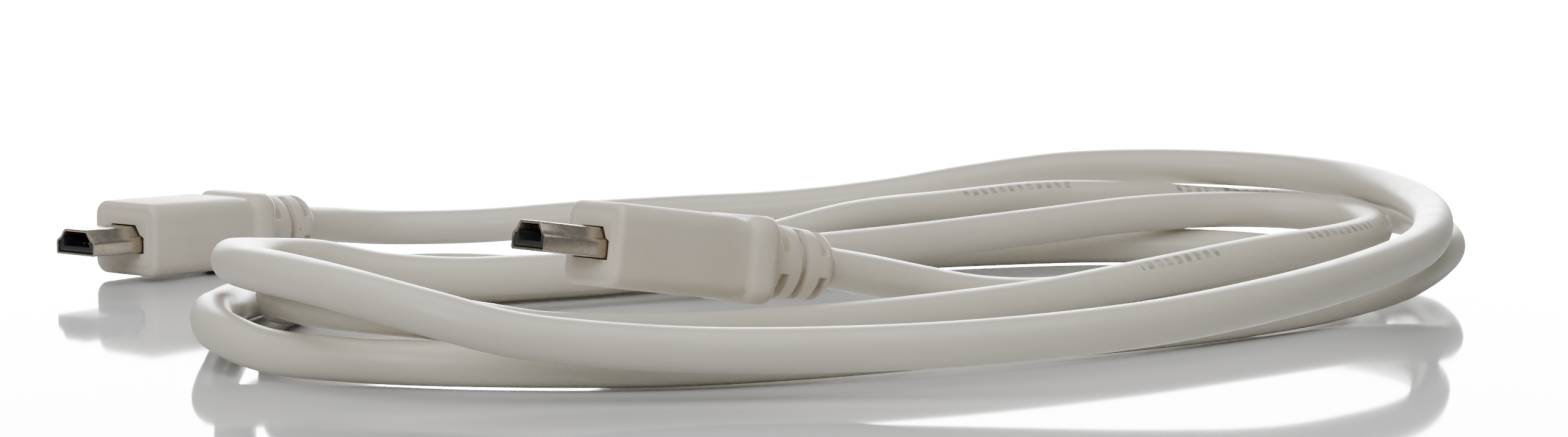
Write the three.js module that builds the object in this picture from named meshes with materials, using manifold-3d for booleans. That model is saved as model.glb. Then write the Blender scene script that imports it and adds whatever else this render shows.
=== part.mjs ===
// USB mini-B extension lead lying in an untidy coil: one cord with a moulded plug at each end.
// Millimetres, +Z up. Each plug is drawn with its nose towards -X and its cord leaving towards +X.
import * as THREE from 'three';
import { mergeVertices } from 'three/addons/utils/BufferGeometryUtils.js';
import Module from 'manifold-3d';

// Cord
const CORD_DIAMETER = 4.3;
const CORD_SIDES = 10;
const END_GAP = 0.3; // between the cord's cut end and the strain relief

// Moulded grip
const GRIP_WIDTH = 10.8;
const GRIP_HEIGHT = 8.5;
const GRIP_CORNER = 1.9;
const GRIP_EDGE = 0.6; // rounding of the front and rear edges
const GRIP_LENGTH = 13.6;
const NECK_LENGTH = 2.0;
const NECK_STEP = 0.4; // how far the neck lies inside the grip's sides
const RIM_LENGTH = 3.2;
const RIM_STEP = 0.2; // how far the rear rim stands out past the grip's sides
const PAD_MARGIN = 0.95; // grip edge to the raised pad on the front face
const PAD_HEIGHT = 0.25;

// Strain relief
const RELIEF_LENGTH = 8.4;
const RELIEF_START_RADIUS = 4.0;
const RELIEF_END_RADIUS = 3.6;
const RELIEF_DOME = 1.2; // length over which the end rounds in
const SLOT_WIDTH = 1.05;
const SLOT_DEPTH = 1.2;
const SLOT_PITCH = 2.45;
const SLOT_FIRST = 1.9; // rim to the middle of the first slot
const SLOT_BRIDGE = 2.2; // width of the webs that cross the slots
const SLOT_COUNT = 3;
const CUT_OVERRUN = 1; // how far a cutting solid reaches past what it cuts

// Metal shell: flat bottom, straight sides, then a step in to the narrow top
const SHELL_BOTTOM_WIDTH = 6.8;
const SHELL_SIDE_HEIGHT = 1.72;
const SHELL_STEP_WIDTH = 5.48;
const SHELL_STEP_HEIGHT = 1.98;
const SHELL_TOP_WIDTH = 3.96;
const SHELL_HEIGHT = 3.0;
const SHELL_WALL = 0.3;
const SHELL_REACH = 7.2; // out of the grip's front face
const SHELL_SEAT = 1.4; // into the grip
const SHELL_RISE = 0.1; // shell's middle above the grip's middle
const SEAT_GAP = 0.3; // shell to the walls of its pocket

// Insulator and contacts inside the shell
const INSULATOR_GAP = 0.15;
const INSULATOR_SETBACK = 0.5; // shell's mouth to the insulator's front
const RECESS_WIDTH = 4.5;
const RECESS_FLOOR = 0.6; // thickness of the insulator's floor
const RECESS_END = 0.6; // back wall of the recess ahead of the grip's front face
const CONTACT_WIDTH = 0.4;
const CONTACT_HEIGHT = 0.25;
const CONTACT_PITCH = 0.8;
const CONTACT_SETBACK = 2.0; // insulator's front to the contacts' tips
const CONTACT_COUNT = 5;

// Directions of the two plugs, in degrees: yaw about +Z, tail-down pitch, roll about the plug's axis
const PLUG_A_YAW = 32.2;
const PLUG_A_PITCH = 8.7;
const PLUG_A_ROLL = 2.6;
const PLUG_B_YAW = 50;
const PLUG_B_PITCH = 0.95;
const PLUG_B_ROLL = 0.5;

// Middle of the cord as it lies, from plug B's strain relief round the coil to plug A's
const CORD_POINTS = [
  [-58.9, 104.03, 4.3], [-55, 108.7, 3.6], [-49, 113.3, 2.8], [-38, 115.3, 2.8], [-26, 114.5, 3.8],
  [-13, 112, 4.8], [0, 109.5, 5.7], [12, 108, 7.2], [23, 108.5, 9], [34, 109.5, 10.4],
  [46, 109.5, 10.8], [57, 106.5, 10.7], [66.3, 98.5, 10.4], [71.2, 86, 9.9], [72.5, 72, 9.4],
  [70.5, 56, 9], [65.5, 38, 8.6], [57.5, 23, 8], [46.5, 9, 7.2], [33.5, 0, 6], [18.5, -4.5, 5],
  [4, -6, 4.5], [-8, -6.8, 4.6], [-18, -7.5, 5.3], [-25, -7.8, 6.2], [-32.5, -6.8, 8],
  [-40.5, -2.2, 9.5], [-46.8, 4.6, 10], [-52, 13.3, 9.8], [-55, 23.8, 9.2], [-56.1, 34, 8.2],
  [-54.6, 42, 7.3], [-49.5, 47.3, 6.5], [-43, 50, 4.9], [-35.5, 52.3, 4.1], [-28, 55.2, 4],
  [-16, 61.8, 4], [0, 71.5, 4.2], [15, 81.5, 4.6], [30, 89, 5.6], [42, 94.2, 6.5], [52, 97.3, 6.7],
  [60.5, 97.6, 6.5], [66.2, 93.3, 6.3], [68.2, 86.3, 6.2], [67.4, 78, 6.1], [62.5, 69.3, 5.9],
  [52, 59.6, 5.5], [40, 51.4, 4.2], [27, 43.2, 2.8], [12, 33, 2.25], [0, 24.8, 2.3],
  [-9.5, 16.8, 2.8], [-17.3, 10, 3.6], [-23.5, 5.8, 4.4], [-29, 3.4, 5.6], [-34.6, 2.9, 6.45],
  [-40.4, 4.4, 6.75], [-45.2, 9.3, 6.65], [-48.4, 15.8, 6.5], [-50.3, 23, 5.9], [-51.6, 30.5, 4.8],
  [-52.3, 38, 3.1], [-51.6, 45.3, 2.25], [-47.5, 52.3, 2.25], [-39.5, 58.2, 2.25], [-29, 63, 2.25],
  [-15, 71, 2.5], [-3, 79, 4.6], [8, 86, 6.7], [20, 94.5, 7.2], [32, 101, 7.7], [43, 103.9, 7.3],
  [52, 106.8, 6.4], [61, 108.6, 5.9], [69.5, 106.2, 5.7], [75.5, 97, 5.5], [76.2, 84, 5.2],
  [73.6, 67, 5], [67, 54.5, 3.4], [58.5, 45, 2.5], [47, 33.5, 2.25], [35, 23.5, 2.3],
  [18.5, 13, 2.45], [3, 5, 2.3], [-12, 0, 2.25], [-28, -0.1, 2.25], [-40, 2.6, 2.25],
  [-49, 6.4, 2.6], [-54.5, 12.4, 3.6], [-56.7, 20.5, 4], [-57.6, 32, 3.2], [-57.7, 43, 2.5],
  [-55.3, 53, 2.25], [-47.5, 61, 2.25], [-34, 67, 2.25], [-20, 75, 2.25], [-4, 83.8, 2.25],
  [12, 90.8, 2.25], [27, 96.4, 2.25], [38, 98.8, 2.25], [47.5, 97.6, 2.25], [55.5, 93.3, 2.25],
  [60.5, 86.5, 2.25], [61, 78.5, 2.25], [57, 71.2, 2.25], [49.5, 65, 2.25], [42, 59.6, 2.25],
  [34, 53.9, 2.25], [26.8, 49, 2.25], [20, 45.5, 3], [14, 42.8, 4.4], [8.9, 39.7, 5.8],
  [3.9, 36.49, 7.04],
].map(([x, y, z]) => new THREE.Vector3(x, y, z));

const wasm = await Module();
wasm.setup();

function toSolid(geometry) {
  const bare = geometry.clone();
  bare.deleteAttribute('normal');
  bare.deleteAttribute('uv');
  const merged = mergeVertices(bare, 1e-4);
  return new wasm.Manifold(new wasm.Mesh({
    numProp: 3,
    vertProperties: new Float32Array(merged.attributes.position.array),
    triVerts: new Uint32Array(merged.index.array),
  }));
}

function toGeometry(solid) {
  const mesh = solid.getMesh();
  const geometry = new THREE.BufferGeometry();
  geometry.setAttribute('position', new THREE.BufferAttribute(new Float32Array(mesh.vertProperties), 3));
  geometry.setIndex(new THREE.BufferAttribute(new Uint32Array(mesh.triVerts), 1));
  geometry.computeVertexNormals();
  return geometry;
}

// Turns a drawing in width (x) and height (y) with its depth along z to lie along the plug's axis
const ALONG_PLUG = new THREE.Matrix4().makeBasis(
  new THREE.Vector3(0, 1, 0), new THREE.Vector3(0, 0, 1), new THREE.Vector3(1, 0, 0));

function prism(shape, from, to, edge = 0) {
  const geometry = new THREE.ExtrudeGeometry(shape, {
    depth: to - from - 2 * edge,
    steps: 1,
    curveSegments: 4,
    bevelEnabled: edge > 0,
    bevelThickness: edge,
    bevelSize: edge,
    bevelOffset: -edge,
    bevelSegments: 2,
  });
  geometry.translate(0, 0, from + edge);
  return geometry.applyMatrix4(ALONG_PLUG);
}

function box(from, to, width, bottom, top, middle = 0) {
  const geometry = new THREE.BoxGeometry(to - from, width, top - bottom);
  return geometry.translate((from + to) / 2, middle, (bottom + top) / 2);
}

function roundedRectangle(width, height, radius) {
  const x = width / 2;
  const y = height / 2;
  const shape = new THREE.Shape();
  shape.moveTo(-x + radius, -y);
  shape.lineTo(x - radius, -y);
  shape.absarc(x - radius, -y + radius, radius, -Math.PI / 2, 0);
  shape.lineTo(x, y - radius);
  shape.absarc(x - radius, y - radius, radius, 0, Math.PI / 2);
  shape.lineTo(-x + radius, y);
  shape.absarc(-x + radius, y - radius, radius, Math.PI / 2, Math.PI);
  shape.lineTo(-x, -y + radius);
  shape.absarc(-x + radius, -y + radius, radius, Math.PI, 1.5 * Math.PI);
  return shape;
}

// The shell's outline, moved out (+) or in (-) by the same distance all round
function shellOutline(offset) {
  const half = [
    [SHELL_BOTTOM_WIDTH / 2, 0],
    [SHELL_BOTTOM_WIDTH / 2, SHELL_SIDE_HEIGHT],
    [SHELL_STEP_WIDTH / 2, SHELL_STEP_HEIGHT],
    [SHELL_TOP_WIDTH / 2, SHELL_HEIGHT],
  ];
  const lift = SHELL_RISE - SHELL_HEIGHT / 2;
  const points = [...half, ...half.map(([x, y]) => [-x, y]).reverse()]
    .map(([x, y]) => new THREE.Vector2(x, y + lift));
  const count = points.length;
  return points.map((point, i) => {
    const before = point.clone().sub(points[(i + count - 1) % count]).normalize();
    const after = points[(i + 1) % count].clone().sub(point).normalize();
    const outBefore = new THREE.Vector2(before.y, -before.x);
    const outAfter = new THREE.Vector2(after.y, -after.x);
    const corner = outBefore.clone().add(outAfter);
    return corner.multiplyScalar(offset / (1 + outBefore.dot(outAfter))).add(point);
  });
}

const NECK_START = GRIP_LENGTH;
const RIM_START = NECK_START + NECK_LENGTH;
const RELIEF_START = RIM_START + RIM_LENGTH;
const RELIEF_END = RELIEF_START + RELIEF_LENGTH;

// Relief: a blunt cone with a rounded end, crossed by slots whose webs turn a quarter from one to the next
function reliefSolid() {
  const root = RELIEF_START - RIM_LENGTH / 2;
  const radiusAt = (x) => THREE.MathUtils.mapLinear(
    x, RELIEF_START, RELIEF_END, RELIEF_START_RADIUS, RELIEF_END_RADIUS);
  const profile = [
    [0, root],
    [radiusAt(root), root],
    [radiusAt(RELIEF_END - RELIEF_DOME), RELIEF_END - RELIEF_DOME],
    [RELIEF_END_RADIUS - 0.3 * RELIEF_DOME, RELIEF_END - 0.3 * RELIEF_DOME],
    [RELIEF_END_RADIUS - RELIEF_DOME, RELIEF_END],
    [0, RELIEF_END],
  ].map(([radius, x]) => new THREE.Vector2(radius, x));
  // the lathe turns about +Y; the quarter turn lays that axis along +X
  const cone = new THREE.LatheGeometry(profile, 24).rotateZ(-Math.PI / 2);
  let solid = toSolid(cone);
  for (let i = 0; i < SLOT_COUNT; i += 1) {
    const middle = RELIEF_START + SLOT_FIRST + i * SLOT_PITCH;
    const from = middle - SLOT_WIDTH / 2;
    const to = middle + SLOT_WIDTH / 2;
    const outer = RELIEF_START_RADIUS + CUT_OVERRUN;
    const inner = radiusAt(middle) - SLOT_DEPTH;
    const ring = new THREE.LatheGeometry([
      new THREE.Vector2(inner, from),
      new THREE.Vector2(outer, from),
      new THREE.Vector2(outer, to),
      new THREE.Vector2(inner, to),
      new THREE.Vector2(inner, from),
    ], 24).rotateZ(-Math.PI / 2);
    const across = i % 2 === 0
      ? box(from - CUT_OVERRUN, to + CUT_OVERRUN, 3 * outer, -SLOT_BRIDGE / 2, SLOT_BRIDGE / 2)
      : box(from - CUT_OVERRUN, to + CUT_OVERRUN, SLOT_BRIDGE, -1.5 * outer, 1.5 * outer);
    solid = solid.subtract(toSolid(ring).subtract(toSolid(across)));
  }
  return solid;
}

function gripSolid() {
  const body = roundedRectangle(GRIP_WIDTH, GRIP_HEIGHT, GRIP_CORNER);
  const neck = roundedRectangle(GRIP_WIDTH - 2 * NECK_STEP, GRIP_HEIGHT - 2 * NECK_STEP, GRIP_CORNER);
  const rim = roundedRectangle(GRIP_WIDTH + 2 * RIM_STEP, GRIP_HEIGHT + 2 * RIM_STEP, GRIP_CORNER);
  const pad = roundedRectangle(GRIP_WIDTH - 2 * PAD_MARGIN, GRIP_HEIGHT - 2 * PAD_MARGIN, GRIP_CORNER);
  const pocket = new THREE.Shape(shellOutline(SEAT_GAP));
  return toSolid(prism(body, 0, GRIP_LENGTH, GRIP_EDGE))
    .add(toSolid(prism(neck, GRIP_LENGTH / 2, RIM_START + RIM_LENGTH / 2)))
    .add(toSolid(prism(rim, RIM_START, RELIEF_START, GRIP_EDGE)))
    .add(toSolid(prism(pad, -PAD_HEIGHT, GRIP_LENGTH / 2)))
    .add(reliefSolid())
    .subtract(toSolid(prism(pocket, -PAD_HEIGHT - CUT_OVERRUN, SHELL_SEAT + SEAT_GAP)));
}

function shellGeometry() {
  const shape = new THREE.Shape(shellOutline(0));
  shape.holes.push(new THREE.Path(shellOutline(-SHELL_WALL)));
  return prism(shape, -SHELL_REACH, SHELL_SEAT);
}

const INSULATOR_FRONT = -SHELL_REACH + INSULATOR_SETBACK;
const RECESS_BACK = -RECESS_END;
const INSULATOR_BOTTOM = SHELL_RISE - SHELL_HEIGHT / 2 + SHELL_WALL + INSULATOR_GAP;
const RECESS_BOTTOM = INSULATOR_BOTTOM + RECESS_FLOOR;

function insulatorSolid() {
  const shape = new THREE.Shape(shellOutline(-SHELL_WALL - INSULATOR_GAP));
  const recess = box(INSULATOR_FRONT - CUT_OVERRUN, RECESS_BACK, RECESS_WIDTH, RECESS_BOTTOM, SHELL_HEIGHT);
  return toSolid(prism(shape, INSULATOR_FRONT, SHELL_SEAT)).subtract(toSolid(recess));
}

const GRIP_MATERIAL = { color: 0xb4aea3, roughness: 0.62, metalness: 0 };
const SHELL_MATERIAL = { color: 0xbdb6a8, roughness: 0.32, metalness: 1 };
const INSULATOR_MATERIAL = { color: 0x17171a, roughness: 0.5, metalness: 0 };
const CONTACT_MATERIAL = { color: 0xcfa75a, roughness: 0.35, metalness: 1 };
const CORD_MATERIAL = { color: 0xb8b4a9, roughness: 0.48, metalness: 0 };

function piece(name, geometry, material) {
  const mesh = new THREE.Mesh(geometry, new THREE.MeshStandardMaterial(material));
  mesh.name = name;
  return mesh;
}

// A plug whose strain relief ends at the cord's end and points along the cord
function plug(name, cordEnd, yaw, pitch, roll) {
  const group = new THREE.Group();
  group.add(piece(`${name}_grip`, toGeometry(gripSolid()), GRIP_MATERIAL));
  group.add(piece(`${name}_shell`, shellGeometry(), SHELL_MATERIAL));
  group.add(piece(`${name}_insulator`, toGeometry(insulatorSolid()), INSULATOR_MATERIAL));
  for (let i = 0; i < CONTACT_COUNT; i += 1) {
    const across = (i - (CONTACT_COUNT - 1) / 2) * CONTACT_PITCH;
    const bottom = RECESS_BOTTOM + INSULATOR_GAP;
    const strip = box(INSULATOR_FRONT + CONTACT_SETBACK, RECESS_BACK - INSULATOR_GAP,
      CONTACT_WIDTH, bottom, bottom + CONTACT_HEIGHT, across);
    group.add(piece(`${name}_contact_${i + 1}`, strip, CONTACT_MATERIAL));
  }
  group.rotation.order = 'ZYX';
  group.rotation.set(
    THREE.MathUtils.degToRad(-roll), THREE.MathUtils.degToRad(pitch), THREE.MathUtils.degToRad(yaw));
  const tail = new THREE.Vector3(RELIEF_END + END_GAP, 0, 0).applyEuler(group.rotation);
  group.position.copy(cordEnd).sub(tail);
  return group;
}

// The cord's rings stand on the chosen points, which lie closer together where it bends
class CordPath extends THREE.CatmullRomCurve3 {
  getUtoTmapping(u) {
    return u;
  }
}

function cordGeometry() {
  const section = new THREE.Shape();
  for (let i = 0; i < CORD_SIDES; i += 1) {
    const angle = (i / CORD_SIDES) * 2 * Math.PI;
    const x = CORD_DIAMETER / 2 * Math.cos(angle);
    const y = CORD_DIAMETER / 2 * Math.sin(angle);
    if (i === 0) section.moveTo(x, y);
    else section.lineTo(x, y);
  }
  return new THREE.ExtrudeGeometry(section, {
    steps: CORD_POINTS.length - 1,
    bevelEnabled: false,
    extrudePath: new CordPath(CORD_POINTS, false, 'centripetal'),
  });
}

const lead = new THREE.Group();
lead.add(piece('cable', cordGeometry(), CORD_MATERIAL));
lead.add(plug('plug_a', CORD_POINTS[CORD_POINTS.length - 1], PLUG_A_YAW, PLUG_A_PITCH, PLUG_A_ROLL));
lead.add(plug('plug_b', CORD_POINTS[0], PLUG_B_YAW, PLUG_B_PITCH, PLUG_B_ROLL));

// Origin in the middle of the footprint, on the surface the lead lies on
lead.updateMatrixWorld(true);
const extent = new THREE.Box3().setFromObject(lead, true);
const middle = extent.getCenter(new THREE.Vector3());
lead.position.set(-middle.x, -middle.y, -extent.min.z);

export default lead;
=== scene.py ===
# Data lead lying in a loose coil, with a moulded five-pole plug at each end. Metres, +Z up.
from math import cos, pi, radians, sin

import bmesh
import bpy
from mathutils import Euler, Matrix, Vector


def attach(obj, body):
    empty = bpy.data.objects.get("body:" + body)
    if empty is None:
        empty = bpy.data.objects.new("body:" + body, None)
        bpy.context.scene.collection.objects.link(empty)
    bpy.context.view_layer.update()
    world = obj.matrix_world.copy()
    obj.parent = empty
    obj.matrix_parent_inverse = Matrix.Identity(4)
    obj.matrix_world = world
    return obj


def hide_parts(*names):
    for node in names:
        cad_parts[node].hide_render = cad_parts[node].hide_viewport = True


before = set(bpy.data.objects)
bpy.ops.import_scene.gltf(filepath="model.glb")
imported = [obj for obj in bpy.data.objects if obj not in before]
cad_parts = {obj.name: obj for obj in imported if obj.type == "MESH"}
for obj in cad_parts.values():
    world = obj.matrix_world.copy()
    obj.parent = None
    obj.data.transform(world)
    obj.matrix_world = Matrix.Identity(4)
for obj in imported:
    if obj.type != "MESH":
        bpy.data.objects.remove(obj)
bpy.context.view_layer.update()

# Sizes below are in millimetres and turns in degrees; a pattern's scale is its cells to the millimetre
MM = 0.001
PER_MM = 1.0 / MM

# Camera: a long lens close to the table, looking slightly down
CAMERA_PLACE = (2.73, -391.98, 52.03)
CAMERA_TILT_DOWN = 6.079
CAMERA_LENS = 83.85
CAMERA_SENSOR = 36.0

# Cord
CORD_DIAMETER = 4.3
CORD_SIDES = 28
CORD_STEPS_PER_SPAN = 10

# From the frame of the cord's points to the part's own frame
ROUTE_SHIFT = (2.7327, -53.7251, 0.0273)

# Middle of the cord, from plug B's strain relief round the coil to plug A's
CORD_POINTS = [
    (-58.9, 104.03, 4.3), (-55, 108.7, 3.6), (-49, 113.3, 2.8), (-38, 115.3, 2.8), (-26, 114.5, 3.8),
    (-13, 112, 4.8), (0, 109.5, 5.7), (12, 108, 7.2), (23, 108.5, 9), (34, 109.5, 10.4),
    (46, 109.5, 10.8), (57, 106.5, 10.7), (66.3, 98.5, 10.4), (71.2, 86, 9.9), (72.5, 72, 9.4),
    (70.5, 56, 9), (65.5, 38, 8.6), (57.5, 23, 8), (46.5, 9, 7.2), (33.5, 0, 6), (18.5, -4.5, 5),
    (4, -6, 4.5), (-8, -6.8, 4.6), (-18, -7.5, 5.3), (-25, -7.8, 6.2), (-32.5, -6.8, 8),
    (-40.5, -2.2, 9.5), (-46.8, 4.6, 10), (-52, 13.3, 9.8), (-55, 23.8, 9.2), (-56.1, 34, 8.2),
    (-54.6, 42, 7.3), (-49.5, 47.3, 6.5), (-43, 50, 4.9), (-35.5, 52.3, 4.1), (-28, 55.2, 4),
    (-16, 61.8, 4), (0, 71.5, 4.2), (15, 81.5, 4.6), (30, 89, 5.6), (42, 94.2, 6.5), (52, 97.3, 6.7),
    (60.5, 97.6, 6.5), (66.2, 93.3, 6.3), (68.2, 86.3, 6.2), (67.4, 78, 6.1), (62.5, 69.3, 5.9),
    (52, 59.6, 5.5), (40, 51.4, 4.2), (27, 43.2, 2.8), (12, 33, 2.25), (0, 24.8, 2.3),
    (-9.5, 16.8, 2.8), (-17.3, 10, 3.6), (-23.5, 5.8, 4.4), (-29, 3.4, 5.6), (-34.6, 2.9, 6.45),
    (-40.4, 4.4, 6.75), (-45.2, 9.3, 6.65), (-48.4, 15.8, 6.5), (-50.3, 23, 5.9), (-51.6, 30.5, 4.8),
    (-52.3, 38, 3.1), (-51.6, 45.3, 2.25), (-47.5, 52.3, 2.25), (-39.5, 58.2, 2.25), (-29, 63, 2.25),
    (-15, 71, 2.5), (-3, 79, 4.6), (8, 86, 6.7), (20, 94.5, 7.2), (32, 101, 7.7), (43, 103.9, 7.3),
    (52, 106.8, 6.4), (61, 108.6, 5.9), (69.5, 106.2, 5.7), (75.5, 97, 5.5), (76.2, 84, 5.2),
    (73.6, 67, 5), (67, 54.5, 3.4), (58.5, 45, 2.5), (47, 33.5, 2.25), (35, 23.5, 2.3),
    (18.5, 13, 2.45), (3, 5, 2.3), (-12, 0, 2.25), (-28, -0.1, 2.25), (-40, 2.6, 2.25), (-49, 6.4, 2.6),
    (-54.5, 12.4, 3.6), (-56.7, 20.5, 4), (-57.6, 32, 3.2), (-57.7, 43, 2.5), (-55.3, 53, 2.25),
    (-47.5, 61, 2.25), (-34, 67, 2.25), (-20, 75, 2.25), (-4, 83.8, 2.25), (12, 90.8, 2.25),
    (27, 96.4, 2.25), (38, 98.8, 2.25), (47.5, 97.6, 2.25), (55.5, 93.3, 2.25), (60.5, 86.5, 2.25),
    (61, 78.5, 2.25), (57, 71.2, 2.25), (49.5, 65, 2.25), (42, 59.6, 2.25), (34, 53.9, 2.25),
    (26.8, 49, 2.25), (20, 45.5, 3), (14, 42.8, 4.4), (8.9, 39.7, 5.8), (3.9, 36.49, 7.04),
]

# Print on the cord: each stretch's start and end along it, and its turn round it, where 0.25 is the top
PRINT_STRETCHES = ((508.0, 568.0, 0.35), (795.0, 838.0, 0.16))
PRINT_HEIGHT = 1.3
PRINT_BAR = 0.7
PRINT_PITCH = 1.3
PRINT_ROW_LENGTH = 25.08
PRINT_ROW_PITCH = 38.0

# How each plug is turned about X, Y and Z, and the gap from its strain relief to the cord's end
PLUG_A_TURN = (-2.6, 8.7, 32.2)
PLUG_B_TURN = (-0.5, 0.95, 50.0)
END_GAP = 0.3

# Grip: body, front edge, and the pad that stands proud of the front face
GRIP_WIDTH = 10.8
GRIP_HEIGHT = 8.5
GRIP_LENGTH = 13.6
GRIP_CORNER = 1.7
GRIP_EDGE = 0.14
FRONT_ROLL = 0.75
PAD_MARGIN = 0.42
PAD_SLOPE = 0.16
PAD_HEIGHT = 0.10
SEAM_LEVEL = 0.1
SEAM_WIDTH = 0.12

# Neck and flared rim behind the body: each step's length, then its width and height over the last one's
NECK_STEPS = (
    (1.5, 0.945, 0.93), (0.45, 1.01, 1.01), (0.35, 1.06, 1.07), (0.35, 1.035, 1.045),
    (1.45, 1.01, 1.01), (0.50, 0.985, 0.98), (0.40, 0.95, 0.94), (0.20, 0.93, 0.91))

# Strain relief: its root starts inside the rim, and its tail is rounded over the last stretch
RELIEF_LENGTH = 8.4
RELIEF_START_RADIUS = 4.0
RELIEF_END_RADIUS = 3.6
RELIEF_ROOT = 0.8
RELIEF_STUB = 0.2
RELIEF_BAYS = 7
RELIEF_TAIL = 1.4
RELIEF_TAIL_STEPS = 7
RELIEF_TAIL_SWEEP = 83.7
RELIEF_START = GRIP_LENGTH + sum(length for length, wide, high in NECK_STEPS)
RELIEF_END = RELIEF_START + RELIEF_LENGTH

# Slots round the strain relief, crossed by a bridge at the sides and above and below in turn
SLOT_COUNT = 3
SLOT_WIDTH = 1.05
SLOT_DEPTH = 1.2
SLOT_PITCH = 2.45
SLOT_FIRST = 1.9
SLOT_BRIDGE = 2.2

# Shell: widths of its lower part, above the step in its sides and at its top; heights of part, step, rest
SHELL_REACH = 7.2
SHELL_SEAT = 1.4
SHELL_WALL = 0.3
SHELL_WIDTHS = (6.8, 5.48, 3.96)
SHELL_HEIGHTS = (1.72, 0.26, 1.02)
SHELL_BOTTOM = -1.4
SHELL_FOLD = 0.34
SHELL_EDGE = 0.07

# How far the step moves up for each millimetre that the outline grows
STEP_RISE = 0.17

# The grip's pocket is larger than the shell, round it and behind it
POCKET_SIDE_GAP = 0.12
POCKET_END_GAP = 0.3

# Insulator, open above its floor
INSULATOR_SETBACK = 0.2
INSULATOR_GAP = 0.1
INSULATOR_FLOOR = 0.6
INSULATOR_EDGE = 0.07
RECESS_WIDTH = 4.5
RECESS_BACK = -0.6
RECESS_TOP = 4.0
FLOOR_LEVEL = SHELL_BOTTOM + SHELL_WALL + INSULATOR_GAP + INSULATOR_FLOOR

# Contacts: each tip step goes forward and down, then narrows and thins the strip to these shares
CONTACT_COUNT = 5
CONTACT_PITCH = 0.8
CONTACT_WIDTH = 0.4
CONTACT_THICKNESS = 0.22
CONTACT_EDGE = 0.05
CONTACT_LIFT = 0.12
CONTACT_SETBACK = 3.1
CONTACT_FRONT = -SHELL_REACH + CONTACT_SETBACK
CONTACT_BACK = -0.75
CONTACT_TIP = ((0.3, 0.03, 0.9, 0.9), (0.25, 0.08, 0.8, 0.75))

# Cutting pieces run past what they cut, and a wide one reaches this far from the axis
CUT_OVERRUN = 1.0
CUT_REACH = 7.0
ROD_SIDES = 48

# Faces that meet at less than this are shaded as one curve
SMOOTH_ANGLE = 40

# Colours, sRGB
CORD_DARK = "B7B1A3"
CORD_LIGHT = "C3BEB0"
CORD_DUST = "E4E1DA"
PRINT_INK = "5B5750"
GRIP_DARK = "B8B0A1"
GRIP_LIGHT = "C5BDAF"
GRIP_DIRT = "7A6152"
NICKEL_BRIGHT = "A8A195"
NICKEL_STAIN = "85745E"
NYLON_DARK = "0B0B0D"
NYLON_LIGHT = "191A1E"
GOLD_DARK = "C79A4B"
GOLD_LIGHT = "E3C078"
TABLE_TONE = "C4C5C7"

# Table and lit sheet, metres, and how strongly the sheet and the room glow
TABLE_SIZE = 6.0
SHEET_PLACE = (0, 1.4, 0.25)
SHEET_WIDTH = 3.2
SHEET_HEIGHT = 0.5
SHEET_GLOW = 32.0
WORLD_GLOW = 0.26


# Camera

camera_data = bpy.data.cameras.new("camera")
camera_data.lens = CAMERA_LENS
camera_data.sensor_width = CAMERA_SENSOR
camera_data.clip_start = 0.01
camera_data.clip_end = 20.0
camera = bpy.data.objects.new("camera", camera_data)
camera.location = [v * MM for v in CAMERA_PLACE]
camera.rotation_euler = (radians(90.0 - CAMERA_TILT_DOWN), 0.0, 0.0)
bpy.context.scene.collection.objects.link(camera)
bpy.context.scene.camera = camera


# Node helpers

def srgb(hex_code):
    """A colour from its sRGB hex code."""
    out = []
    for i in (0, 2, 4):
        c = int(hex_code[i:i + 2], 16) / 255.0
        out.append(c / 12.92 if c <= 0.04045 else ((c + 0.055) / 1.055) ** 2.4)
    return (out[0], out[1], out[2], 1.0)


def set_inputs(node, **inputs):
    """Gives a node's inputs a value or another node's output.

    An input goes by its name or, as in i0, by its number. A colour mix has its colours at 6 and 7 and its
    result at output 2.
    """
    for key, value in inputs.items():
        number = key[1:] if key[0] == "i" else ""
        socket = node.inputs[int(number) if number.isdigit() else key.replace("_", " ")]
        if isinstance(value, bpy.types.NodeSocket):
            node.id_data.links.new(value, socket)
        else:
            socket.default_value = value


def add_node(material, kind, settings=None, **inputs):
    """Adds one node with its settings and inputs."""
    node = material.node_tree.nodes.new(kind)
    for key, value in (settings or {}).items():
        setattr(node, key, value)
    set_inputs(node, **inputs)
    return node


def new_material(name, kind="ShaderNodeBsdfPrincipled"):
    """A material that holds only a shader and its output."""
    material = bpy.data.materials.new(name)
    material.use_nodes = True
    material.node_tree.nodes.clear()
    shader = add_node(material, kind)
    add_node(material, "ShaderNodeOutputMaterial", Surface=shader.outputs[0])
    return material, shader


# Materials

# Plasticised PVC takes a little light in, about a millimetre deep
PVC_BODY = {
    "IOR": 1.53,
    "Subsurface_Weight": 0.06,
    "Subsurface_Radius": (1.0 * MM, 0.8 * MM, 0.6 * MM),
    "Subsurface_Scale": 1.0,
}


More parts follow.
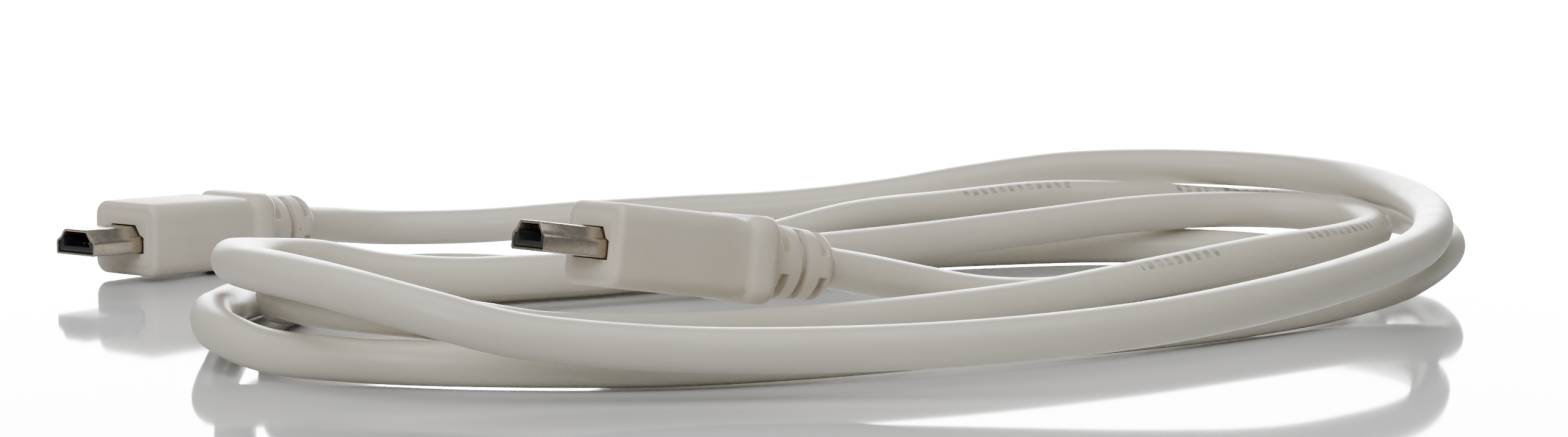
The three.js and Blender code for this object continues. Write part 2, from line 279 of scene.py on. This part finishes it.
def extruded_pvc_jacket():
    """Plasticised PVC drawn over a braid: soft sheen, slight ripple, faint handling marks, worn print."""
    pvc, shader = new_material("extruded_pvc_jacket")
    here = add_node(pvc, "ShaderNodeTexCoord").outputs["Object"]
    run = add_node(pvc, "ShaderNodeTexCoord").outputs["UV"]
    # broad change of tone, about 12 mm across
    tone = add_node(pvc, "ShaderNodeTexNoise", Vector=here, Scale=0.08 * PER_MM, Detail=2.0, Roughness=0.5)
    plain = add_node(pvc, "ShaderNodeMix", {"data_type": "RGBA"},
                     Factor=tone.outputs["Fac"], i6=srgb(CORD_DARK), i7=srgb(CORD_LIGHT))
    # dust and scuffs, about 0.4 mm
    dust = add_node(pvc, "ShaderNodeTexNoise", Vector=here, Scale=2.6 * PER_MM, Detail=3.0, Roughness=0.6)
    speck = add_node(pvc, "ShaderNodeMapRange", Value=dust.outputs["Fac"],
                     From_Min=0.70, From_Max=0.80, To_Min=0.0, To_Max=0.25)
    dusty = add_node(pvc, "ShaderNodeMix", {"data_type": "RGBA"},
                     Factor=speck.outputs["Result"], i6=plain.outputs[2], i7=srgb(CORD_DUST))
    # worn ink: short plain bars in rows on the upper side, rubbed thin in places
    along = add_node(pvc, "ShaderNodeSeparateXYZ", Vector=run)
    masks = []
    for pitch, length in ((PRINT_PITCH, PRINT_BAR), (PRINT_ROW_PITCH, PRINT_ROW_LENGTH)):
        wave = add_node(pvc, "ShaderNodeMath", {"operation": "PINGPONG"}, i0=along.outputs[0], i1=pitch / 2)
        mask = add_node(pvc, "ShaderNodeMath", {"operation": "LESS_THAN"}, i0=wave.outputs[0], i1=length / 2)
        masks.append(mask.outputs[0])
    printed = 0.0
    for first, last, turn in PRINT_STRETCHES:
        reach = add_node(pvc, "ShaderNodeMath", {"operation": "COMPARE"},
                         i0=along.outputs[0], i1=(first + last) / 2, i2=(last - first) / 2)
        band = add_node(pvc, "ShaderNodeMath", {"operation": "COMPARE"},
                        i0=along.outputs[1], i1=turn, i2=PRINT_HEIGHT / (2 * pi * CORD_DIAMETER))
        both = add_node(pvc, "ShaderNodeMath", {"operation": "MULTIPLY"},
                        i0=reach.outputs[0], i1=band.outputs[0])
        either = add_node(pvc, "ShaderNodeMath", {"operation": "MAXIMUM"}, i0=printed, i1=both.outputs[0])
        printed = either.outputs[0]
    rubbed = add_node(pvc, "ShaderNodeTexNoise", Vector=here, Scale=1.4 * PER_MM, Detail=2.0, Roughness=0.6)
    left = add_node(pvc, "ShaderNodeMapRange", Value=rubbed.outputs["Fac"],
                    From_Min=0.35, From_Max=0.60, To_Min=0.15, To_Max=0.65)
    ink = left.outputs["Result"]
    for mask in masks + [printed]:
        ink = add_node(pvc, "ShaderNodeMath", {"operation": "MULTIPLY"}, i0=ink, i1=mask).outputs[0]
    marked = add_node(pvc, "ShaderNodeMix", {"data_type": "RGBA"},
                      Factor=ink, i6=dusty.outputs[2], i7=srgb(PRINT_INK))
    # sheen varies a little where it has been handled, over 4 to 5 mm
    wear = add_node(pvc, "ShaderNodeTexNoise", Vector=here, Scale=0.22 * PER_MM, Detail=2.0, Roughness=0.5)
    sheen = add_node(pvc, "ShaderNodeMapRange", Value=wear.outputs["Fac"],
                     From_Min=0.3, From_Max=0.7, To_Min=0.36, To_Max=0.46)
    # ripple left by the braid beneath, 2.5 mm across, and a fine skin of 0.2 mm
    ripple = add_node(pvc, "ShaderNodeTexNoise", Vector=here, Scale=0.4 * PER_MM, Detail=1.0, Roughness=0.4)
    skin = add_node(pvc, "ShaderNodeTexNoise", Vector=here, Scale=5.0 * PER_MM, Detail=2.0, Roughness=0.5)
    height = add_node(pvc, "ShaderNodeMath", {"operation": "MULTIPLY_ADD"},
                      i0=skin.outputs["Fac"], i1=0.12, i2=ripple.outputs["Fac"])
    bump = add_node(pvc, "ShaderNodeBump", Height=height.outputs[0], Strength=0.25, Distance=0.06 * MM)
    set_inputs(shader, Base_Color=marked.outputs[2], Roughness=sheen.outputs["Result"],
               Normal=bump.outputs["Normal"], **PVC_BODY)
    return pvc


def moulded_pvc_grip(name, turn, front):
    """Injection-moulded PVC from a spark-eroded tool: fine even grain, dull, dirt specks, a parting line."""
    pvc, shader = new_material(name)
    here = add_node(pvc, "ShaderNodeTexCoord").outputs["Object"]
    # faint change of tone, about 6 mm across
    tone = add_node(pvc, "ShaderNodeTexNoise", Vector=here, Scale=0.16 * PER_MM, Detail=3.0, Roughness=0.55)
    plain = add_node(pvc, "ShaderNodeMix", {"data_type": "RGBA"},
                     Factor=tone.outputs["Fac"], i6=srgb(GRIP_DARK), i7=srgb(GRIP_LIGHT))
    # brown dirt specks under half a millimetre, in a few of the pattern's 3 mm cells
    cells = add_node(pvc, "ShaderNodeTexVoronoi", Vector=here, Scale=0.33 * PER_MM, Randomness=1.0)
    dot = add_node(pvc, "ShaderNodeMapRange", Value=cells.outputs["Distance"],
                   From_Min=0.035, From_Max=0.06, To_Min=1.0, To_Max=0.0)
    some = add_node(pvc, "ShaderNodeMath", {"operation": "GREATER_THAN"}, i0=cells.outputs["Color"], i1=0.72)
    dots = add_node(pvc, "ShaderNodeMath", {"operation": "MULTIPLY"},
                    i0=dot.outputs["Result"], i1=some.outputs[0])
    faint = add_node(pvc, "ShaderNodeMath", {"operation": "MULTIPLY"}, i0=dots.outputs[0], i1=0.7)
    dirty = add_node(pvc, "ShaderNodeMix", {"data_type": "RGBA"},
                     Factor=faint.outputs[0], i6=plain.outputs[2], i7=srgb(GRIP_DIRT))
    # the tool's halves meet near mid height and leave a raised line
    own = add_node(pvc, "ShaderNodeMapping", {"vector_type": "TEXTURE"},
                   Vector=here, Location=front, Rotation=turn)
    level = add_node(pvc, "ShaderNodeSeparateXYZ", Vector=own.outputs[0])
    seam = add_node(pvc, "ShaderNodeMath", {"operation": "COMPARE"},
                    i0=level.outputs[2], i1=SEAM_LEVEL * MM, i2=SEAM_WIDTH / 2 * MM)
    # erosion grain of about 0.15 mm, over soft waves of about 1 mm
    grain = add_node(pvc, "ShaderNodeTexNoise", Vector=here, Scale=6.5 * PER_MM, Detail=2.0, Roughness=0.6)
    soft = add_node(pvc, "ShaderNodeTexNoise", Vector=here, Scale=0.9 * PER_MM, Detail=1.0, Roughness=0.5)
    height = add_node(pvc, "ShaderNodeMath", {"operation": "MULTIPLY_ADD"},
                      i0=soft.outputs["Fac"], i1=0.6, i2=grain.outputs["Fac"])
    raised = add_node(pvc, "ShaderNodeMath", {"operation": "ADD"}, i0=height.outputs[0], i1=seam.outputs[0])
    bump = add_node(pvc, "ShaderNodeBump", Height=raised.outputs[0], Strength=0.35, Distance=0.05 * MM)
    dull = add_node(pvc, "ShaderNodeMapRange", Value=tone.outputs["Fac"],
                    From_Min=0.3, From_Max=0.7, To_Min=0.50, To_Max=0.60)
    set_inputs(shader, Base_Color=dirty.outputs[2], Roughness=dull.outputs["Result"],
               Normal=bump.outputs["Normal"], **PVC_BODY)
    return pvc


def nickel_plated_shell(name, turn, front):
    """Stamped steel, dull nickel plate: draw marks from mouth to grip, mottled gloss, brown at its seat."""
    nickel, shader = new_material(name)
    here = add_node(nickel, "ShaderNodeTexCoord").outputs["Object"]
    # the plug's own frame, with the nose towards -X; marks are about 2.4 mm long in it and 0.17 mm across
    own = add_node(nickel, "ShaderNodeMapping", {"vector_type": "TEXTURE"},
                   Vector=here, Location=front, Rotation=turn)
    along = add_node(nickel, "ShaderNodeMapping", {"vector_type": "POINT"},
                     Vector=own.outputs[0], Scale=(0.07, 1.0, 1.0))
    marks = add_node(nickel, "ShaderNodeTexNoise", Vector=along.outputs[0],
                     Scale=6.0 * PER_MM, Detail=3.0, Roughness=0.65)
    # mottling of about 0.7 mm in the gloss, tarnish of about 1.6 mm in the colour
    mottle = add_node(nickel, "ShaderNodeTexNoise", Vector=here,
                      Scale=1.5 * PER_MM, Detail=4.0, Roughness=0.65)
    tarnish = add_node(nickel, "ShaderNodeTexNoise", Vector=here,
                       Scale=0.62 * PER_MM, Detail=3.0, Roughness=0.6)
    stain = add_node(nickel, "ShaderNodeMapRange", Value=tarnish.outputs["Fac"],
                     From_Min=0.45, From_Max=0.75, To_Min=0.0, To_Max=0.22)
    # brown creeps out of the grip over the last 1.4 mm
    depth = add_node(nickel, "ShaderNodeSeparateXYZ", Vector=own.outputs[0])
    seat = add_node(nickel, "ShaderNodeMapRange", Value=depth.outputs[0],
                    From_Min=-1.4 * MM, From_Max=0.2 * MM, To_Min=0.0, To_Max=0.5)
    total = add_node(nickel, "ShaderNodeMath", {"operation": "ADD", "use_clamp": True},
                     i0=stain.outputs["Result"], i1=seat.outputs["Result"])
    stained = add_node(nickel, "ShaderNodeMix", {"data_type": "RGBA"},
                       Factor=total.outputs[0], i6=srgb(NICKEL_BRIGHT), i7=srgb(NICKEL_STAIN))
    gloss = add_node(nickel, "ShaderNodeMapRange", Value=mottle.outputs["Fac"],
                     From_Min=0.35, From_Max=0.68, To_Min=0.24, To_Max=0.34)
    height = add_node(nickel, "ShaderNodeMath", {"operation": "MULTIPLY_ADD"},
                      i0=mottle.outputs["Fac"], i1=0.8, i2=marks.outputs["Fac"])
    bump = add_node(nickel, "ShaderNodeBump", Height=height.outputs[0], Strength=0.09, Distance=0.02 * MM)
    set_inputs(shader, Base_Color=stained.outputs[2], Roughness=gloss.outputs["Result"],
               Normal=bump.outputs["Normal"], Metallic=1.0)
    return nickel


def black_nylon_insulator():
    """Glass-filled nylon moulding: near black, satin, faint flow marks about 1 mm across."""
    nylon, shader = new_material("black_nylon_insulator")
    here = add_node(nylon, "ShaderNodeTexCoord").outputs["Object"]
    flow = add_node(nylon, "ShaderNodeTexNoise", Vector=here, Scale=0.9 * PER_MM, Detail=3.0, Roughness=0.6)
    tone = add_node(nylon, "ShaderNodeMix", {"data_type": "RGBA"},
                    Factor=flow.outputs["Fac"], i6=srgb(NYLON_DARK), i7=srgb(NYLON_LIGHT))
    satin = add_node(nylon, "ShaderNodeMapRange", Value=flow.outputs["Fac"],
                     From_Min=0.3, From_Max=0.7, To_Min=0.30, To_Max=0.45)
    bump = add_node(nylon, "ShaderNodeBump", Height=flow.outputs["Fac"], Strength=0.2, Distance=0.03 * MM)
    set_inputs(shader, Base_Color=tone.outputs[2], Roughness=satin.outputs["Result"],
               Normal=bump.outputs["Normal"], IOR=1.53)
    return nylon


def gold_flashed_contact():
    """Phosphor bronze with a gold flash: warm and bright, tone and gloss uneven over half a millimetre."""
    gold, shader = new_material("gold_flashed_contact")
    here = add_node(gold, "ShaderNodeTexCoord").outputs["Object"]
    flash = add_node(gold, "ShaderNodeTexNoise", Vector=here, Scale=1.8 * PER_MM, Detail=2.0, Roughness=0.6)
    tone = add_node(gold, "ShaderNodeMix", {"data_type": "RGBA"},
                    Factor=flash.outputs["Fac"], i6=srgb(GOLD_DARK), i7=srgb(GOLD_LIGHT))
    gloss = add_node(gold, "ShaderNodeMapRange", Value=flash.outputs["Fac"],
                     From_Min=0.3, From_Max=0.7, To_Min=0.22, To_Max=0.36)
    set_inputs(shader, Base_Color=tone.outputs[2], Roughness=gloss.outputs["Result"], Metallic=1.0)
    return gold


# Cord

def cord_line():
    """Smooth line through the chosen points, centripetal, in metres."""
    points = [Vector([a + b for a, b in zip(p, ROUTE_SHIFT)]) * MM for p in CORD_POINTS]
    ends = [points[0] * 2 - points[1]] + points + [points[-1] * 2 - points[-2]]
    line = []
    for i in range(1, len(ends) - 2):
        p0, p1, p2, p3 = ends[i - 1:i + 3]
        d0, d1, d2 = ((b - a).length ** 0.5 for a, b in ((p0, p1), (p1, p2), (p2, p3)))
        t1 = ((p1 - p0) / d0 - (p2 - p0) / (d0 + d1) + (p2 - p1) / d1) * d1
        t2 = ((p2 - p1) / d1 - (p3 - p1) / (d1 + d2) + (p3 - p2) / d2) * d1
        for k in range(CORD_STEPS_PER_SPAN):
            t = k / CORD_STEPS_PER_SPAN
            line.append(p1 + t1 * t + (3 * (p2 - p1) - 2 * t1 - t2) * t * t
                        + (2 * (p1 - p2) + t1 + t2) * t ** 3)
    line.append(points[-1])
    return line


def cord_mesh(name, line, radius, sides):
    """A closed round tube; its UV map is millimetres along and the turn round it, top at a quarter."""
    mesh = bpy.data.meshes.new(name)
    bm = bmesh.new()
    layer = bm.loops.layers.uv.new("run")
    last = len(line) - 1
    rings = []
    for i, point in enumerate(line):
        tangent = (line[min(i + 1, last)] - line[max(i - 1, 0)]).normalized()
        side = tangent.cross(Vector((0, 0, 1))).normalized()
        up = side.cross(tangent)
        rings.append([bm.verts.new(point + (side * cos(a) + up * sin(a)) * radius)
                      for a in (2 * pi * k / sides for k in range(sides))])
    run = 0.0
    for i in range(last):
        step = (line[i + 1] - line[i]).length / MM
        for k in range(sides):
            n = (k + 1) % sides
            face = bm.faces.new((rings[i][k], rings[i][n], rings[i + 1][n], rings[i + 1][k]))
            face.smooth = True
            corners = ((run, k), (run, k + 1), (run + step, k + 1), (run + step, k))
            for loop, (u, v) in zip(face.loops, corners):
                loop[layer].uv = (u, v / sides)
        run += step
    bm.faces.new(list(reversed(rings[0])))
    bm.faces.new(rings[-1])
    bmesh.ops.recalc_face_normals(bm, faces=bm.faces)
    bm.to_mesh(mesh)
    bm.free()
    piece = bpy.data.objects.new(name, mesh)
    bpy.context.scene.collection.objects.link(piece)
    return piece


line = cord_line()
cord = cord_mesh("cord", line, CORD_DIAMETER / 2 * MM, CORD_SIDES)
cord.data.materials.append(extruded_pvc_jacket())
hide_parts("cable")
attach(cord, "root")


# Modelling helpers

def clear_selection():
    """Leaves edit mode, with nothing selected."""
    if bpy.context.object and bpy.context.object.mode != "OBJECT":
        bpy.ops.object.mode_set(mode="OBJECT")
    bpy.ops.object.select_all(action="DESELECT")


def select_only(piece):
    clear_selection()
    piece.select_set(True)
    bpy.context.view_layer.objects.active = piece


def edit(piece):
    select_only(piece)
    bpy.ops.object.mode_set(mode="EDIT")


def apply_place(piece):
    """Leaves the piece's place, turn and size in its mesh."""
    select_only(piece)
    bpy.ops.object.transform_apply(location=True, rotation=True, scale=True)


def start_box(name, x0, x1, width, bottom, top, middle=0.0):
    """A box along the plug's axis."""
    clear_selection()
    bpy.ops.mesh.primitive_cube_add(
        size=1.0,
        location=((x0 + x1) / 2 * MM, middle * MM, (bottom + top) / 2 * MM),
        scale=((x1 - x0) * MM, width * MM, (top - bottom) * MM))
    piece = bpy.context.object
    piece.name = name
    apply_place(piece)
    return piece


def start_rod(name, x0, x1, radius):
    """A round bar along the plug's axis."""
    clear_selection()
    bpy.ops.mesh.primitive_cylinder_add(
        vertices=ROD_SIDES, radius=radius * MM, depth=(x1 - x0) * MM,
        location=((x0 + x1) / 2 * MM, 0, 0), rotation=(0, pi / 2, 0))
    piece = bpy.context.object
    piece.name = name
    apply_place(piece)
    return piece


def pick(kind, test):
    """In edit mode, selects only the faces or edges that pass a test."""
    bpy.ops.mesh.select_mode(type=kind)
    bpy.ops.mesh.select_all(action="DESELECT")
    mesh = bpy.context.object.data
    bm = bmesh.from_edit_mesh(mesh)
    for item in (bm.faces if kind == "FACE" else bm.edges):
        if test(item):
            item.select_set(True)
    bm.select_flush_mode()
    bmesh.update_edit_mesh(mesh)


def facing(x=0, z=0):
    """A test for faces that look one way."""
    return lambda face: face.normal.dot(Vector((x, 0, z))) > 0.9


def runs_along(edge):
    """Whether an edge runs along the plug."""
    return abs((edge.verts[0].co - edge.verts[1].co).normalized().x) > 0.9


def is_fold(edge):
    """Whether an edge runs along the plug between two faces that meet at an angle."""
    return (runs_along(edge) and len(edge.link_faces) == 2
            and edge.link_faces[0].normal.dot(edge.link_faces[1].normal) < 0.97)


def on_front_edge(edge):
    """Whether an edge lies in the plane of the grip's front face."""
    return all(abs(v.co.x) < 0.0005 * MM for v in edge.verts)


def is_front_face(face):
    """Whether a face is the large one at the grip's front, over 20 square millimetres."""
    return face.normal.x < -0.99 and face.calc_area() > 20 * MM * MM


def round_edges(width, segments, clamp_overlap=True):
    """Rounds the selected edges."""
    bpy.ops.mesh.bevel(offset=width * MM, segments=segments, affect="EDGES", clamp_overlap=clamp_overlap)


def pull(x=0.0, z=0.0, wide=1.0, high=1.0):
    """Extrudes what is selected, then resizes it about its middle."""
    bpy.ops.mesh.extrude_region_move(TRANSFORM_OT_translate={"value": (x * MM, 0.0, z * MM)})
    bpy.ops.transform.resize(value=(1.0, wide, high))


def finish_with(piece, kind, **settings):
    """Adds a modifier to the piece and applies it."""
    select_only(piece)
    modifier = piece.modifiers.new(kind.lower(), kind)
    for key, value in settings.items():
        setattr(modifier, key, value)
    bpy.ops.object.modifier_apply(modifier=modifier.name)


def break_edges(piece, width, angle):
    """Rounds the edges whose faces meet at more than an angle."""
    finish_with(piece, "BEVEL", width=width * MM, segments=2,
                limit_method="ANGLE", angle_limit=radians(angle))


def cut(piece, cutter, operation="DIFFERENCE"):
    """Cuts the piece with another, or joins them by UNION; the other one is used up."""
    finish_with(piece, "BOOLEAN", object=cutter, operation=operation, solver="EXACT")
    bpy.data.objects.remove(cutter, do_unlink=True)


def copy_of(piece, name):
    twin = piece.copy()
    twin.data = piece.data.copy()
    twin.name = name
    bpy.context.scene.collection.objects.link(twin)
    return twin


# Plug pieces, drawn with the nose towards -X and the grip's front face at x = 0

def stepped_bar(name, x0, x1, grow):
    """The shell's outline as a solid bar, grown or shrunk by the same distance all round."""
    bottom_width, step_width, top_width = [w + 2 * grow for w in SHELL_WIDTHS]
    bottom = SHELL_BOTTOM - grow
    lower = SHELL_HEIGHTS[0] + grow * (1 + STEP_RISE)
    upper = SHELL_HEIGHTS[2] + grow * (1 - STEP_RISE)
    bar = start_box(name, x0, x1, bottom_width, bottom, bottom + lower)
    edit(bar)
    pick("FACE", facing(z=1))
    pull(z=SHELL_HEIGHTS[1], wide=step_width / bottom_width)
    pull(z=upper, wide=top_width / step_width)
    clear_selection()
    return bar


def grip_piece(name):
    """Grip body: rounded block with a raised pad in front, drawn-in neck, flared rear rim, shell pocket."""
    grip = start_box(name, 0, GRIP_LENGTH, GRIP_WIDTH, -GRIP_HEIGHT / 2, GRIP_HEIGHT / 2)
    edit(grip)
    pick("EDGE", runs_along)
    round_edges(GRIP_CORNER, segments=8)
    pick("FACE", facing(x=1))
    for length, wide, high in NECK_STEPS:
        pull(x=length, wide=wide, high=high)
    pick("EDGE", on_front_edge)
    round_edges(FRONT_ROLL, segments=5, clamp_overlap=False)
    pick("FACE", is_front_face)
    bpy.ops.mesh.inset(thickness=PAD_MARGIN * MM)
    bpy.ops.mesh.inset(thickness=PAD_SLOPE * MM)
    bpy.ops.transform.translate(value=(-PAD_HEIGHT * MM, 0, 0))
    clear_selection()
    cut(grip, stepped_bar("pocket", -2 * CUT_OVERRUN, SHELL_SEAT + POCKET_END_GAP, POCKET_SIDE_GAP))
    return grip


def relief_piece(name):
    """Strain relief: tapered round bar with a rounded tail, crossed by slots."""
    relief = start_rod(name, RELIEF_START - RELIEF_ROOT, RELIEF_START + RELIEF_STUB, RELIEF_START_RADIUS)
    edit(relief)
    pick("FACE", facing(x=1))
    straight = RELIEF_LENGTH - RELIEF_STUB - RELIEF_TAIL
    narrower = (RELIEF_END_RADIUS / RELIEF_START_RADIUS) ** (1 / RELIEF_BAYS)
    for _ in range(RELIEF_BAYS):
        pull(x=straight / RELIEF_BAYS, wide=narrower, high=narrower)
    before = 1.0
    reach = 0.0
    for k in range(1, RELIEF_TAIL_STEPS + 1):
        angle = k / RELIEF_TAIL_STEPS * radians(RELIEF_TAIL_SWEEP)
        now = 1.0 - (RELIEF_TAIL / RELIEF_END_RADIUS) * (1 - cos(angle))
        pull(x=RELIEF_TAIL * sin(angle) - reach, wide=now / before, high=now / before)
        before = now
        reach = RELIEF_TAIL * sin(angle)
    clear_selection()
    for i in range(SLOT_COUNT):
        middle = RELIEF_START + SLOT_FIRST + i * SLOT_PITCH
        x0 = middle - SLOT_WIDTH / 2
        x1 = middle + SLOT_WIDTH / 2
        radius = RELIEF_START_RADIUS + (RELIEF_END_RADIUS - RELIEF_START_RADIUS) * i / SLOT_COUNT
        ring = start_rod("ring", x0, x1, RELIEF_START_RADIUS + CUT_OVERRUN)
        cut(ring, start_rod("core", x0 - CUT_OVERRUN, x1 + CUT_OVERRUN, radius - SLOT_DEPTH))
        at_sides = i % 2 == 0
        wide = 2 * CUT_REACH if at_sides else SLOT_BRIDGE
        top = SLOT_BRIDGE / 2 if at_sides else CUT_REACH
        cut(ring, start_box("web", x0 - CUT_OVERRUN, x1 + CUT_OVERRUN, wide, -top, top))
        cut(relief, ring)
    return relief


def shell_piece(name):
    """Stamped shell: folded sheet with rounded folds, open at both ends."""
    shell = stepped_bar(name, -SHELL_REACH, SHELL_SEAT, 0.0)
    edit(shell)
    pick("FACE", lambda face: abs(face.normal.x) > 0.9)
    bpy.ops.mesh.delete(type="FACE")
    pick("EDGE", is_fold)
    round_edges(SHELL_FOLD, segments=5)
    clear_selection()
    finish_with(shell, "SOLIDIFY", thickness=SHELL_WALL * MM, offset=-1.0, use_even_offset=True)
    break_edges(shell, SHELL_EDGE, angle=60)
    return shell


def insulator_piece(name):
    """Black insulator: fills the shell's lower half and sides, open above."""
    front = -SHELL_REACH + INSULATOR_SETBACK
    insulator = stepped_bar(name, front, SHELL_SEAT, -(SHELL_WALL + INSULATOR_GAP))
    recess = start_box("recess", front - CUT_OVERRUN, RECESS_BACK, RECESS_WIDTH, FLOOR_LEVEL, RECESS_TOP)
    cut(insulator, recess)
    break_edges(insulator, INSULATOR_EDGE, angle=40)
    return insulator


def contact_piece(name, middle):
    """Contact: thin strip whose tip dips towards the insulator's floor."""
    bottom = FLOOR_LEVEL + CONTACT_LIFT
    top = bottom + CONTACT_THICKNESS
    strip = start_box(name, CONTACT_FRONT, CONTACT_BACK, CONTACT_WIDTH, bottom, top, middle)
    edit(strip)
    pick("FACE", facing(x=-1))
    for forward, down, wide, high in CONTACT_TIP:
        pull(x=-forward, z=-down, wide=wide, high=high)
    clear_selection()
    break_edges(strip, CONTACT_EDGE, angle=40)
    return strip


def front_of(cord_end, turn):
    """Where the plug's front face stands when its strain relief meets the cord's end."""
    tail = Vector(((RELIEF_END + END_GAP) * MM, 0, 0))
    tail.rotate(turn)
    return cord_end - tail


# Both plugs, from one model of each piece

grip = grip_piece("grip_body")
cut(grip, relief_piece("grip_relief"), "UNION")
break_edges(grip, GRIP_EDGE, angle=38)
shell = shell_piece("shell")
insulator = insulator_piece("insulator")
contacts = [contact_piece("contact_%d" % (i + 1), (i - (CONTACT_COUNT - 1) / 2) * CONTACT_PITCH)
            for i in range(CONTACT_COUNT)]
models = [grip, shell, insulator] + contacts
for model in models:
    select_only(model)
    bpy.ops.object.shade_smooth_by_angle(angle=radians(SMOOTH_ANGLE))

nylon = black_nylon_insulator()
gold = gold_flashed_contact()
for plug, end, degrees in (("plug_b", line[0], PLUG_B_TURN), ("plug_a", line[-1], PLUG_A_TURN)):
    turn = Euler([radians(v) for v in degrees], "XYZ")
    front = front_of(end, turn)
    pvc = moulded_pvc_grip("moulded_pvc_grip_" + plug[-1], turn, front)
    nickel = nickel_plated_shell("nickel_plated_shell_" + plug[-1], turn, front)
    kinds = [("moulding", "grip", grip, pvc, "grip"),
             ("metal_shell", "shell", shell, nickel, "shell"),
             ("nylon_insert", "insulator", insulator, nylon, "insulator")]
    kinds += [("contact_strip_%d" % (i + 1), "contact_%d" % (i + 1), contact, gold, "contact")
              for i, contact in enumerate(contacts)]
    for label, node, model, material, slot in kinds:
        piece = copy_of(model, plug + "_" + label)
        piece.rotation_euler = turn
        piece.location = front
        apply_place(piece)
        piece.data.materials.clear()
        piece.data.materials.append(material)
        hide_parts(plug + "_" + node)
        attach(piece, "root")
for model in models:
    bpy.data.objects.remove(model, do_unlink=True)


# Table, backdrop and light

clear_selection()
bpy.ops.mesh.primitive_plane_add(size=TABLE_SIZE, location=(0, 0, 0))
table = bpy.context.object
table.name = "table"
# polished white acrylic: pale, and mirrors what stands on it and behind it
acrylic, acrylic_shader = new_material("pale_polished_table")
set_inputs(acrylic_shader, Base_Color=srgb(TABLE_TONE), Roughness=0.05, IOR=1.5)
table.data.materials.append(acrylic)

# a lit white sheet stands on the far side of the object, mirrored in the table's polish
clear_selection()
bpy.ops.mesh.primitive_plane_add(
    size=1.0, location=SHEET_PLACE, rotation=(pi / 2, 0, 0), scale=(SHEET_WIDTH, SHEET_HEIGHT, 1.0))
sheet = bpy.context.object
sheet.name = "lit_sheet"
white, white_shader = new_material("lit_white_sheet", "ShaderNodeEmission")
set_inputs(white_shader, Strength=SHEET_GLOW)
sheet.data.materials.append(white)

world = bpy.data.worlds.new("studio")
world.use_nodes = True
set_inputs(world.node_tree.nodes["Background"], Color=(1.0, 1.0, 1.0, 1.0), Strength=WORLD_GLOW)
bpy.context.scene.world = world


def area_light(name, place, target, size, power):
    """A rectangular lamp turned to a point; metres and watts."""
    data = bpy.data.lights.new(name, "AREA")
    data.shape = "RECTANGLE"
    data.size = size[0]
    data.size_y = size[1]
    data.energy = power
    lamp = bpy.data.objects.new(name, data)
    lamp.location = place
    lamp.rotation_euler = (Vector(target) - Vector(place)).to_track_quat("-Z", "Y").to_euler()
    bpy.context.scene.collection.objects.link(lamp)


area_light("overhead", place=(-0.05, -0.10, 0.5), target=(0, -0.05, 0), size=(0.8, 0.4), power=2.9)
area_light("front_fill", place=(-0.26, -0.56, 0.30), target=(0, -0.02, 0), size=(0.4, 0.28), power=2.5)
